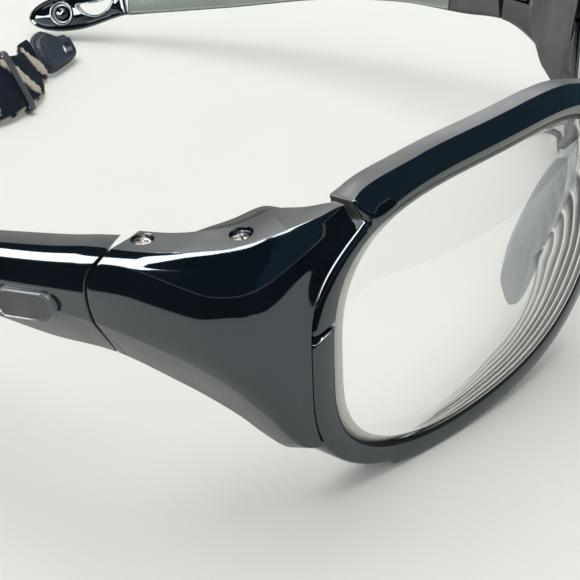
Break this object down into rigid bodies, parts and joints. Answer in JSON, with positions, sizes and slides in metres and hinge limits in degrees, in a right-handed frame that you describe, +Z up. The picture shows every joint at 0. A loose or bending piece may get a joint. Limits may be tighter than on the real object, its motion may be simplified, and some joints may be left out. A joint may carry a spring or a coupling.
{
  "type": "sports protective goggles",
  "caption": "Wrap-around protective goggles with clear lenses in a glossy black frame, side shields, folding padded temples and a loose elastic head strap.",
  "frame": {"origin": "on the surface the goggles stand on, at the middle of the goggles' box in width and depth, the strap not counted", "axes": "+X towards the wearer's left, -Y the way the lenses face, +Z up"},
  "size_m": [0.1516, 0.1762, 0.0447],
  "materials": {
    "gloss_black": "polished black nylon, satin on its flat top faces",
    "clear_lens": "clear polycarbonate, polished, with a ground edge",
    "grey_silicone": "soft translucent grey silicone",
    "dark_pad": "matte dark grey soft rubber",
    "screw_steel": "bare steel, cross-slotted heads",
    "grey_green_rubber": "matte grey-green soft rubber",
    "badge_plastic": "smooth dark grey, no lettering",
    "navy_rubber": "matte navy rubber",
    "slider_plastic": "dark grey moulded plastic",
    "woven_elastic": "woven elastic, navy with a beige zigzag"
  },
  "bodies": {
    "front": {"front_frame": "gloss_black", "lens_right": "clear_lens", "nose_pad_right": "grey_silicone", "nose_pad_arm_right": "gloss_black", "endpiece_right": "gloss_black", "side_pad_right": "dark_pad", "hinge_screw_right": "screw_steel", "rim_screw_right": "screw_steel", "lens_left": "clear_lens", "nose_pad_left": "grey_silicone", "nose_pad_arm_left": "gloss_black", "endpiece_left": "gloss_black", "side_pad_left": "dark_pad", "hinge_screw_left": "screw_steel", "rim_screw_left": "screw_steel"},
    "temple_right": {"temple_right": "gloss_black", "temple_lining_right": "grey_green_rubber", "temple_badge_right": "badge_plastic", "temple_tip_right": "gloss_black", "strap_stud_right": "dark_pad"},
    "temple_left": {"temple_left": "gloss_black", "temple_lining_left": "grey_green_rubber", "temple_badge_left": "badge_plastic", "temple_tip_left": "gloss_black", "strap_stud_left": "dark_pad"},
    "strap": {"strap_webbing": "woven_elastic", "strap_tab_right": "navy_rubber", "strap_tab_left": "navy_rubber"},
    "slider_right": {"strap_slider_right": "slider_plastic"},
    "slider_left": {"strap_slider_left": "slider_plastic"}
  },
  "joints": [
    {"name": "temple_right_fold", "type": "hinge", "parent": "front", "child": "temple_right", "pos_m": [-0.0706, -0.041, 0.0295], "axis": [0, 0, -1], "range_deg": [0, 80]},
    {"name": "temple_left_fold", "type": "hinge", "parent": "front", "child": "temple_left", "pos_m": [0.0706, -0.041, 0.0295], "axis": [0, 0, 1], "range_deg": [0, 72]},
    {"name": "strap_release", "type": "slide", "parent": "front", "child": "strap", "axis": [0, 1, 0], "range_m": [0, 0.05]},
    {"name": "slider_right_slide", "type": "slide", "parent": "strap", "child": "slider_right", "axis": [-0.4042, -0.9147, 0], "range_m": [-0.0015, 0.003]},
    {"name": "slider_left_slide", "type": "slide", "parent": "strap", "child": "slider_left", "axis": [-0.9964, -0.085, 0], "range_m": [-0.002, 0.002]}
  ]
}
